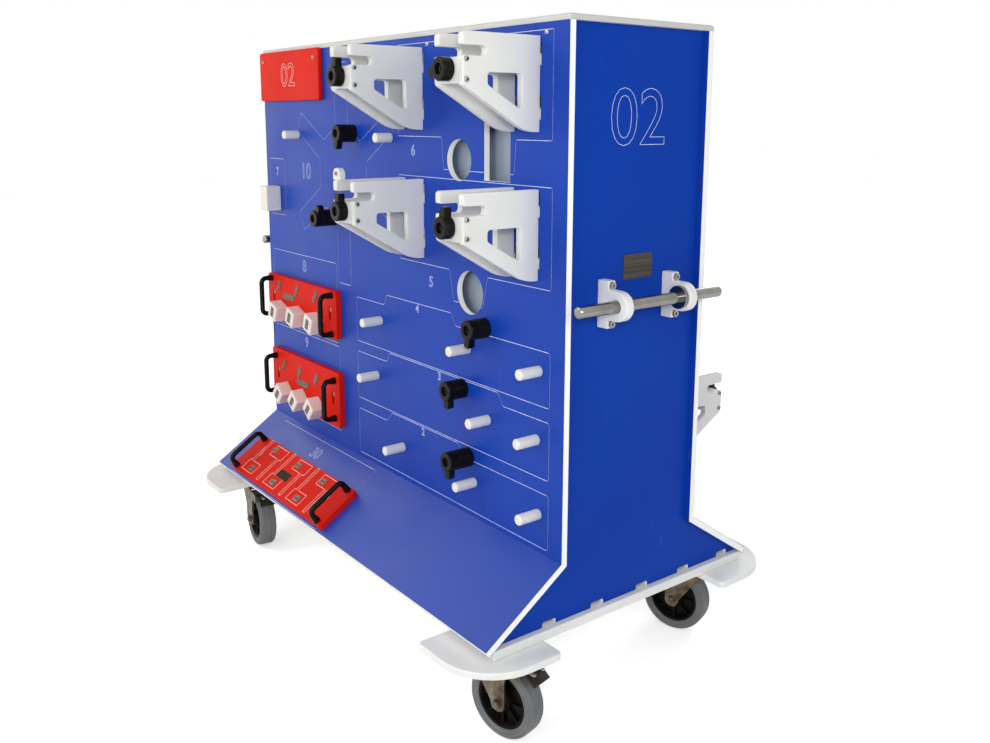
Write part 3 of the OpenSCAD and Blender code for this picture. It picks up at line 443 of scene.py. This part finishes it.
# On the skirt, x runs along the cart and the second measure runs up the slope from the fold
on_skirt = Matrix.Translation((0, -half_depth, fold)) @ Matrix((
    (1, 0, 0, 0),
    (0, math.cos(skirt_slope), -math.sin(skirt_slope), 0),
    (0, math.sin(skirt_slope), math.cos(skirt_slope), 0),
    (0, 0, 0, 1),
))
skirt_zone = ((-578, -226), (-44, -226), (-44, -17), (-578, -17))
engrave(cuts, rounded_path(in_mm(skirt_zone), zone_corner), on_skirt)
settle(cuts, "engraved_outlines", "cabinet", "blue_sheet", cut_lit, cut_shade, cut_half_lit)


# Plain numbers for the zones, the skirt and the right-hand end, cut as fine outlines
# with the same cutter as the zones, all in the level cuts' painted lit colour.
def number(bm, word, to_face, x, y, size):
    # A number in mm on a face, made into mesh from its outline
    shape = bpy.data.curves.new("number", "FONT")
    shape.body = word
    shape.size = size * mm
    shape.align_x = "CENTER"
    shape.align_y = "CENTER"
    shape.fill_mode = "NONE"
    shape.bevel_depth = cut_w / 2
    shape.bevel_resolution = 0
    shape.resolution_u = 4
    holder = bpy.data.objects.new("number", shape)
    outline = bpy.data.meshes.new_from_object(holder)
    flat = Matrix.Diagonal((1, 1, 2 * cut_proud / cut_w, 1))
    outline.transform(to_face @ Matrix.Translation((x * mm, y * mm, 0)) @ flat)
    bm.from_mesh(outline)
    bpy.data.objects.remove(holder)
    bpy.data.curves.remove(shape)
    bpy.data.meshes.remove(outline)


# On the right-hand end, x runs from front to rear
on_right_end = Matrix(((0, 0, 1, end_face), (1, 0, 0, 0), (0, 1, 0, 0), (0, 0, 0, 1)))
numbers = bmesh.new()
for word, x, z, size in (
    ("2", 160, 499, 26), ("3", 230, 651, 26), ("4", 140, 796, 26), ("5", 200, 868, 34), ("6", 130, 1164, 34),
    ("7", -592, 1084, 34), ("8", -440, 825, 46), ("9", -440, 606, 40), ("10", -412, 1092, 60),
):
    number(numbers, word, on_front, x, z, size)
number(numbers, "30", on_skirt, -310, -58, 46)
number(numbers, "02", on_right_end, 0, 1235, 160)
settle(numbers, "engraved_numbers", "cabinet", "blue_sheet", cut_lit)


# Small screws: button heads with a hexagon socket, turned from stainless bar. They hold the arms'
# cross blocks and the sign; the two at the top of the front panel take a brighter copy of the steel as a
# painted highlight.
screw_steel, tree, shader, place = finish("screw_steel", tone(150, 146, 140), 0.34)
shader.inputs["Metallic"].default_value = 1
drift(tree, place, shader.inputs["Base Color"], 180, 4, tone(134, 130, 124), tone(170, 166, 160))
raised(tree, shader, noise(tree, place, 700, 2), 0.06, 0.0002)
screw_steel_highlit, tree, shader, place = finish("screw_steel_highlit", tone(214, 206, 190), 0.3)
shader.inputs["Metallic"].default_value = 1
drift(tree, place, shader.inputs["Base Color"], 180, 4, tone(200, 192, 176), tone(226, 220, 206))
# Socket floors are painted black as shade in the hollow; the same dark colours the tab rivets.
socket_shade_and_rivet_black, tree, shader, place = finish("socket_shade_and_rivet_black", tone(24, 23, 22), 0.7)
drift(tree, place, shader.inputs["Base Color"], 300, 3, tone(18, 17, 16), tone(40, 38, 36), ends=(0.3, 0.8))


def lathe(bm, profile, spot, steps=28, index=0):
    # Spins a profile of (radius, height) about its axis and puts it in place
    ring = [bm.verts.new((r, 0, h)) for r, h in profile]
    line = [bm.edges.new(pair) for pair in zip(ring, ring[1:])]
    old = set(bm.faces)
    bmesh.ops.spin(
        bm, geom=ring + line, cent=(0, 0, 0), axis=(0, 0, 1), dvec=(0, 0, 0),
        angle=math.tau, steps=steps, use_merge=True, use_duplicate=False,
    )
    made = [f for f in bm.faces if f not in old]
    verts = list({v for f in made for v in f.verts})
    for face in made:
        face.material_index = index
    bmesh.ops.remove_doubles(bm, verts=verts, dist=1e-6)
    verts = list({v for f in bm.faces if f not in old for v in f.verts})
    bmesh.ops.transform(bm, matrix=spot, verts=verts)


def facing(place, outward):
    # A spot whose height axis points out of the face that carries it
    return Matrix.Translation(place) @ Vector(outward).to_track_quat("Z", "Y").to_matrix().to_4x4()


def button_head(bm, place, outward, r):
    # A head of radius r at a place in mm, with a socket for the key
    spot = facing(Vector(place) * mm, outward)
    head = (
        (0.46, 0.2), (0.5, 0.62), (0.78, 0.56), (0.95, 0.3), (1, 0), (0.5, -0.3), (0, -0.3),
    )
    socket = ((0, 0.2), (0.47, 0.2), (0.47, 0.1), (0, 0.1))
    lathe(bm, [(a * r * mm, h * r * mm) for a, h in head], spot)
    lathe(bm, [(a * r * mm, h * r * mm) for a, h in socket], spot, steps=6, index=1)


# Each arm's middle along the cart, its top, and the side of the cart that it hangs on
arm_spots = {
    "arm_upper_left": (127.5, 1392, -1), "arm_upper_right": (533.5, 1392, -1),
    "arm_lower_left": (127.5, 1102, -1), "arm_lower_right": (533.5, 1102, -1),
    "arm_rear": (533.5, 643, 1),
}
arm_half_w = 45.5
face_out = half_depth / mm
block_out, block_drops, arm_head_r = 173, (49, 85), 5.2
stop_aside, stop_out, stop_up = -38, 177, 14
for arm, (x, top, side) in arm_spots.items():
    heads = bmesh.new()
    for flank in (-1, 1):
        for drop in block_drops:
            spot = (x + flank * arm_half_w, side * (face_out + block_out), top - drop)
            button_head(heads, spot, (flank, 0, 0), arm_head_r)
    if arm == "arm_lower_left":
        button_head(heads, (x + stop_aside, -face_out - stop_out, top + stop_up), (0, -1, 0), arm_head_r)
    settle(heads, arm + "_screws", arm, "steel", screw_steel, socket_shade_and_rivet_black)

for name, head_steel, out, r, spots in (
    ("sign_screws", screw_steel, 12, 5.5, ((-637, 1393), (-327, 1393))),
    ("panel_screws", screw_steel_highlit, 0, 4.5, ((597, 1397), (192, 1398))),
):
    heads = bmesh.new()
    for x, z in spots:
        button_head(heads, (x, -face_out - out, z), (0, -1, 0), r)
    settle(heads, name, "cabinet", "steel", head_steel, socket_shade_and_rivet_black)


# Lever knobs and clamp posts: black moulded plastic, smooth and worn shiny.
# A shoulder screw holds each knob on its post or on its arm, so that it turns.
def black_moulding(name, colour, rough, gloss):
    mat, tree, shader, place = finish(name, colour, rough)
    shader.inputs["Specular IOR Level"].default_value = gloss
    paler = tuple(c * 1.9 + 0.004 for c in colour)
    drift(tree, place, shader.inputs["Base Color"], 30, 5, colour, paler, ends=(0.3, 0.8))
    drift(tree, place, shader.inputs["Roughness"], 60, 4, rough - 0.08, rough + 0.1)
    raised(tree, shader, noise(tree, place, 1400, 2), 0.03, 0.0003)
    return mat


def dress(node, mat):
    # A solid that keeps its own shape gets its finish
    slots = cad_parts[node].data.materials
    slots.clear()
    slots.append(mat)


knob_black = black_moulding("knob_black", tone(13, 10, 8), 0.15, 0.1)
screw_black = black_moulding("screw_black", tone(22, 20, 18), 0.28, 0.4)
for spot in ("upper_left", "upper_right", "lower_left", "lower_right", "rear"):
    eased("knob_" + spot, "knob_" + spot, "black_plastic", 0.0009, knob_black)
for count in range(1, 6):
    eased(f"clamp_lever_{count}", f"clamp_{count}", "black_plastic", 0.0009, knob_black)
eased("clamp_posts", "cabinet", "black_plastic", 0.0005, knob_black)
dress("pivot_screws", screw_black)


# Divider arms: white polyethylene plates with routed edges, four hooked through the front
# panel and one through the rear. Each has a cross block with a black shoulder screw.
arm_white = white_board("arm_white", tone(226, 226, 221), tone(218, 218, 212), 0.4)
shoulder_drop, shoulder_from, shoulder_r = 66, 165, 10.5


def shoulder_screw(x, height):
    # Makes a test for the points of the screw that stands on an arm's cross block
    def on_screw(point):
        off_axis = Vector((point.x - x * mm, point.z - height * mm)).length
        return off_axis < shoulder_r * mm and abs(point.y) > half_depth + shoulder_from * mm

    return on_screw


for arm, (x, top, side) in arm_spots.items():
    on_screw = shoulder_screw(x, top - shoulder_drop)
    eased(arm, arm, "white_plastic", 0.0018, arm_white, screw_black, turns=3, second=on_screw)


# Pegs and the rest block: turned and sawn white polyethylene, gone a little creamy.
# A spigot holds each peg in the front panel, and the block is fixed flat on the panel.
peg_white = white_board("peg_white", tone(230, 228, 222), tone(222, 219, 212), 0.42)
eased("pegs", "cabinet", "white_plastic", 0.0008, peg_white, turns=3)
eased("rest_block", "cabinet", "white_plastic", 0.002, peg_white, turns=3)


# Red plates: the sign and the three lift-off tag plates, satin red board with routed edges.
# The sign is screwed on. The tag plates hang by keyholes on screws and have black bridge handles.
def red_board(name):
    mat, tree, shader, place = finish(name, tone(214, 28, 12), 0.5)
    shader.inputs["Specular IOR Level"].default_value = 0.06
    patchy = ramp(tree, noise(tree, place, 9, 5), (0.3, tone(210, 25, 11)), (0.75, tone(219, 33, 15)))
    rubs = ramp(tree, noise(tree, place, 70, 7, (0.3, 1, 1)), (0.7, 0), (0.78, 1))
    rubbed = blend(tree, reckoned(tree, "MULTIPLY", rubs, 0.14), patchy, tone(236, 110, 96))
    tree.links.new(rubbed, shader.inputs["Base Color"])
    drift(tree, place, shader.inputs["Roughness"], 18, 3, 0.4, 0.54)
    raised(tree, shader, noise(tree, place, 700, 2), 0.05, 0.0004)
    return mat


plate_red = red_board("plate_red")
eased("sign_plate", "cabinet", "red_plastic", 0.0025, plate_red, turns=3)
for tag in ("upper", "lower", "skirt"):
    eased("tag_plate_" + tag, "tag_" + tag, "red_plastic", 0.0022, plate_red, turns=3)
    dress("handles_" + tag, knob_black)

key_white, tree, shader, place = finish("key_white", tone(244, 214, 206), 0.55)
dull, bright = tone(238, 200, 190), tone(250, 232, 226)
drift(tree, place, shader.inputs["Base Color"], 90, 3, dull, bright, ends=(0.3, 0.7))
sign_proud = 12.3 * mm
on_sign = on_front @ Matrix.Translation((0, 0, sign_proud))
sign_number = bmesh.new()
number(sign_number, "02", on_sign, -480, 1350, 88)
settle(sign_number, "sign_number", "cabinet", "red_plastic", key_white)


# Tag blocks: milky white square blocks, set askew in rows of three on the two upper plates.
# They are sawn from thick board, eased all round and fixed flat on the plates.
block_white = white_board("block_white", tone(232, 222, 216), tone(224, 212, 205), 0.38)
for tag in ("upper", "lower"):
    eased("tag_blocks_" + tag, "tag_" + tag, "white_plastic", 0.003, block_white, turns=3)


# Steel tabs: thin bare labels with rounded corners, pressed from sheet. Small dark rivets pin
# the narrow ones to the plates and to the blocks, and the wide ones are stuck on.
tab_steel, tree, shader, place = finish("tab_steel", tone(104, 100, 93), 0.38)
shader.inputs["Metallic"].default_value = 0.9
drift(tree, place, shader.inputs["Base Color"], 140, 4, tone(76, 72, 66), tone(124, 118, 108))
raised(tree, shader, noise(tree, place, 600, 3), 0.15, 0.0003)
rivet = ((0, 0.9), (1.4, 0.7), (2.2, 0), (0, 0))


def tab(bm, to_face, x, y, w, h, turn, t, corner=0.8, index=0, rivets=()):
    # A thin label in mm on a face, turned clockwise from upright by an angle in degrees
    middle = Matrix.Translation((x * mm, y * mm, 0))
    turned = to_face @ middle @ Matrix.Rotation(-math.radians(turn), 4, "Z")
    corners = ((-w / 2, -h / 2), (w / 2, -h / 2), (w / 2, h / 2), (-w / 2, h / 2))
    outline = rounded_path(in_mm(corners), corner * mm)
    top = [bm.verts.new(turned @ Vector((*p, t * mm))) for p in outline]
    foot = [bm.verts.new(turned @ Vector((*p, 0))) for p in outline]
    sides = [(foot[i - 1], foot[i], top[i], top[i - 1]) for i in range(len(outline))]
    for ring in (top, foot[::-1], *sides):
        bm.faces.new(ring).material_index = index
    for a, b in rivets:
        pin = turned @ Matrix.Translation((a * mm, b * mm, t * mm))
        lathe(bm, in_mm(rivet), pin, steps=10, index=1)


plate_proud, block_proud = 15.3 * mm, 38 * mm
on_plate = on_front @ Matrix.Translation((0, 0, plate_proud))
on_block = on_front @ Matrix.Translation((0, 0, plate_proud + block_proud))
tab_t = 1.2
narrow_w, narrow_h, narrow_turn = 13, 38, 32
wide_w, wide_h = 70, 17
block_tab_w, block_tab_h = 15, 28
for tag, narrow, wide, blocks, block_turn in (
    ("upper", ((-574, 755), (-463, 755), (-352, 755)), (-513, 729),
     ((-550, 685), (-440, 685), (-330, 685)), 20),
    ("lower", ((-561, 517), (-463, 515), (-360, 518)), (-443, 487),
     ((-537.5, 441.5), (-440.5, 441.5), (-343.5, 441.5)), 40),
):
    tabs = bmesh.new()
    pins = ((0, 12), (0, 0), (0, -12))
    for x, z in narrow:
        tab(tabs, on_plate, x, z, narrow_w, narrow_h, narrow_turn, tab_t, rivets=pins)
    tab(tabs, on_plate, *wide, wide_w, wide_h, 0, tab_t)
    pins = ((0, 9), (0, 0), (0, -9))
    for x, z in blocks:
        tab(tabs, on_block, x, z, block_tab_w, block_tab_h, block_turn, tab_t, rivets=pins)
    settle(tabs, "tabs_" + tag, "tag_" + tag, "steel", tab_steel, socket_shade_and_rivet_black)


# Skirt plate: fine white key outlines cut into the red board, three from below and three
# from above. Each has a steel tab pinned in it, and one dark label is stuck in the middle.
label_dark, tree, shader, place = finish("label_dark", tone(42, 30, 18), 0.6)
shader.inputs["Specular IOR Level"].default_value = 0.1
drift(tree, place, shader.inputs["Base Color"], 140, 4, tone(36, 25, 14), tone(56, 40, 25))
on_skirt_plate = on_skirt @ Matrix.Translation((0, 0, plate_proud))
key_from_below = (
    (-33, -208), (33, -208), (33, -173), (-15, -173), (-15, -94), (-25, -94), (-25, -173), (-33, -173),
)
key_from_above = (
    (-35, -99), (35, -99), (35, -133), (24, -133), (24, -211), (14, -211), (14, -133), (-35, -133),
)
keys = bmesh.new()
for key, places in ((key_from_below, (-480, -338, -196)), (key_from_above, (-423, -281, -139))):
    for x in places:
        engrave(keys, in_mm([(x + a, b) for a, b in key]), on_skirt_plate, shaded=False)
settle(keys, "key_outlines", "tag_skirt", "red_plastic", key_white)

skirt_tab_w, skirt_tab_h = 25, 17
label_w, label_h = 62, 25
pins = ((-7, 0), (0, 0), (7, 0))
skirt_tabs = bmesh.new()
for x, down in ((-451, 115), (-469, 193), (-333, 193), (-303, 117), (-188, 193), (-156, 118)):
    tab(skirt_tabs, on_skirt_plate, x, -down, skirt_tab_w, skirt_tab_h, 0, tab_t, rivets=pins)
tab(skirt_tabs, on_skirt_plate, -318, -161, label_w, label_h, 0, tab_t / 2, index=1)
settle(skirt_tabs, "skirt_tabs", "tag_skirt", "steel", tab_steel, label_dark)


# Push bars: round stainless bar, brushed along its length, in white pillow blocks that are
# screwed to the end panels. A steel collar against each block keeps the bar in place.
steel, tree, shader, place = finish("brushed_stainless", tone(134, 132, 128), 0.3)
shader.inputs["Metallic"].default_value = 1
drift(tree, place, shader.inputs["Roughness"], 160, 4, 0.15, 0.28, stretch=(1, 0.06, 1))
drift(tree, place, shader.inputs["Base Color"], 25, 5, tone(122, 120, 116), tone(150, 148, 144))
raised(tree, shader, noise(tree, place, 700, 2, (1, 0.05, 1)), 0.05, 0.0002)
for node in ("push_bars", "bar_collars"):
    dress(node, steel)
for node in ("pillow_screws", "hanger_screws"):
    dress(node, screw_steel)
eased("pillow_blocks", "cabinet", "white_plastic", 0.0015, board_white)


# Name plate: a bare etched steel plate with round corners, dark and brushed.
# It is stuck on the right-hand end panel above the push bar.
etched, tree, shader, place = finish("etched_steel", tone(68, 64, 60), 0.4)
shader.inputs["Metallic"].default_value = 0.8
brushed = (1, 0.15, 6)
drift(tree, place, shader.inputs["Base Color"], 30, 5, tone(54, 50, 46), tone(82, 78, 72), brushed)
raised(tree, shader, noise(tree, place, 300, 3, (1, 0.04, 1)), 0.08, 0.0002)
plate_w, plate_h, plate_corner = 83, 51, 6
name_plate = bmesh.new()
tab(name_plate, on_right_end, 8.5, 942.5, plate_w, plate_h, 0, tab_t, corner=plate_corner)
settle(name_plate, "name_plate", "cabinet", "steel", etched)


# Casters: pressed forks with worn zinc plating and specks of rust, on plates under the base.
# The wheels have black moulded rims and grey non-marking tyres with two darker rings.
zinc, tree, shader, place = finish("worn_zinc", tone(98, 86, 70), 0.45)
shader.inputs["Metallic"].default_value = 0.85
rust = ramp(tree, noise(tree, place, 55, 8), (0.52, 0), (0.66, 1))
plating = ramp(tree, noise(tree, place, 45, 6), (0.36, tone(66, 60, 52)), (0.66, tone(128, 116, 98)))
rusted = blend(tree, reckoned(tree, "MULTIPLY", rust, 0.6), plating, tone(116, 82, 50))
tree.links.new(rusted, shader.inputs["Base Color"])
drift(tree, place, shader.inputs["Roughness"], 50, 5, 0.36, 0.6)
raised(tree, shader, noise(tree, place, 300, 4), 0.12, 0.0003)
rim_black = black_moulding("rim_black", tone(8, 6, 4), 0.34, 0.05)

# Each caster's end and side of the cart, and the way that its fork points
caster_spots = {
    "front_right": (1, -1, 13), "front_left": (-1, -1, -8),
    "rear_right": (1, 1, 198), "rear_left": (-1, 1, 171),
}
swivel_x, swivel_y, trail, axle_height = 576, 312, 44, 80


def at_caster(spot):
    end, side, turn = caster_spots[spot]
    swivel = Matrix.Translation((end * swivel_x * mm, side * swivel_y * mm, 0))
    return swivel @ Matrix.Rotation(math.radians(turn), 4, "Z")


def tyre_rubber(spot):
    # Grey rubber with two darker rings at fixed distances from the wheel's own axle
    mat, tree, shader, place = finish("rubber_" + spot, tone(100, 102, 103), 0.66)
    worn = ramp(tree, noise(tree, place, 22, 6), (0.3, tone(90, 92, 93)), (0.75, tone(112, 114, 116)))
    from_hub = tree.nodes.new("ShaderNodeVectorMath")
    from_hub.operation = "SUBTRACT"
    from_hub.inputs[1].default_value = at_caster(spot) @ Vector((trail * mm, 0, axle_height * mm))
    tree.links.new(place, from_hub.inputs[0])
    across = tree.nodes.new("ShaderNodeVectorMath")
    across.operation = "CROSS_PRODUCT"
    across.inputs[1].default_value = at_caster(spot).to_3x3() @ Vector((0, 1, 0))
    tree.links.new(from_hub.outputs[0], across.inputs[0])
    radius = tree.nodes.new("ShaderNodeVectorMath")
    radius.operation = "LENGTH"
    tree.links.new(across.outputs[0], radius.inputs[0])
    decimetres = reckoned(tree, "MULTIPLY", radius.outputs["Value"], 10)
    rings = ramp(
        tree, decimetres, (0.655, 0), (0.662, 1), (0.676, 1), (0.683, 0),
        (0.738, 0), (0.744, 1), (0.754, 1), (0.76, 0),
    )
    ringed = blend(tree, reckoned(tree, "MULTIPLY", rings, 0.4), worn, tone(52, 54, 56))
    tree.links.new(ringed, shader.inputs["Base Color"])
    raised(tree, shader, noise(tree, place, 500, 3), 0.15, 0.0004)
    return mat


for spot in caster_spots:
    dress("fork_" + spot, zinc)
    dress("rim_" + spot, rim_black)
    dress("tyre_" + spot, tyre_rubber(spot))
dress("caster_top_plates", zinc)


# Axle bolts: a plated steel bolt through each wheel, gone dull and brown.
# Its two rounded ends show on the outer sides of the fork.
bolt_out = 39
bolt_dull, tree, shader, place = finish("bolt_dull", tone(92, 88, 80), 0.34)
shader.inputs["Metallic"].default_value = 1
drift(tree, place, shader.inputs["Base Color"], 240, 5, tone(60, 56, 48), tone(128, 122, 112))
raised(tree, shader, noise(tree, place, 500, 3), 0.08, 0.0002)
bolt_end = ((0, 2), (5, 1.8), (6.8, 0.6), (7, -0.2), (0, -0.2))
for spot in caster_spots:
    bolts = bmesh.new()
    for side in (-1, 1):
        end = at_caster(spot) @ facing(Vector((trail, side * bolt_out, axle_height)) * mm, (0, side, 0))
        lathe(bolts, in_mm(bolt_end), end)
    settle(bolts, "axle_ends_" + spot, "caster_" + spot, "steel", bolt_dull)


# Brake pedals: a dark pressed tread that turns on a cross pin between the fork's wings.
# Two bright plated prongs lie on top of it.
pedal_steel = black_moulding("pedal_steel", tone(40, 37, 34), 0.3, 0.4)
pedal_steel.node_tree.nodes["Principled BSDF"].inputs["Metallic"].default_value = 0.7
prong_bright, tree, shader, place = finish("prong_bright", tone(176, 173, 166), 0.24)
shader.inputs["Metallic"].default_value = 1
drift(tree, place, shader.inputs["Roughness"], 200, 4, 0.18, 0.36)
raised(tree, shader, noise(tree, place, 500, 3), 0.06, 0.0002)
pedal_pivot, pedal_height = 85, 159.7
prong_from_pivot, prong_aside, prong_up = 24, 14, 5.2
prong_l, prong_w, prong_t, prong_edge = 34, 8, 2.6, 0.8
for spot in ("front_right", "front_left"):
    eased("pedal_" + spot, "pedal_" + spot, "black_plastic", 0.0006, pedal_steel)
    prongs = bmesh.new()
    for side in (-1, 1):
        middle = Vector((pedal_pivot + prong_from_pivot, side * prong_aside, pedal_height + prong_up)) * mm
        size = Matrix.Diagonal((prong_l * mm, prong_w * mm, prong_t * mm, 1))
        over_tread = at_caster(spot) @ Matrix.Translation(middle) @ size
        made = bmesh.ops.create_cube(prongs, size=1, matrix=over_tread)
        bmesh.ops.bevel(
            prongs, geom=list({e for v in made["verts"] for e in v.link_edges}), offset=prong_edge * mm,
            offset_type="OFFSET", segments=2, profile=0.5, affect="EDGES", clamp_overlap=True, material=-1,
        )
    settle(prongs, "pedal_prongs_" + spot, "pedal_" + spot, "steel", prong_bright)
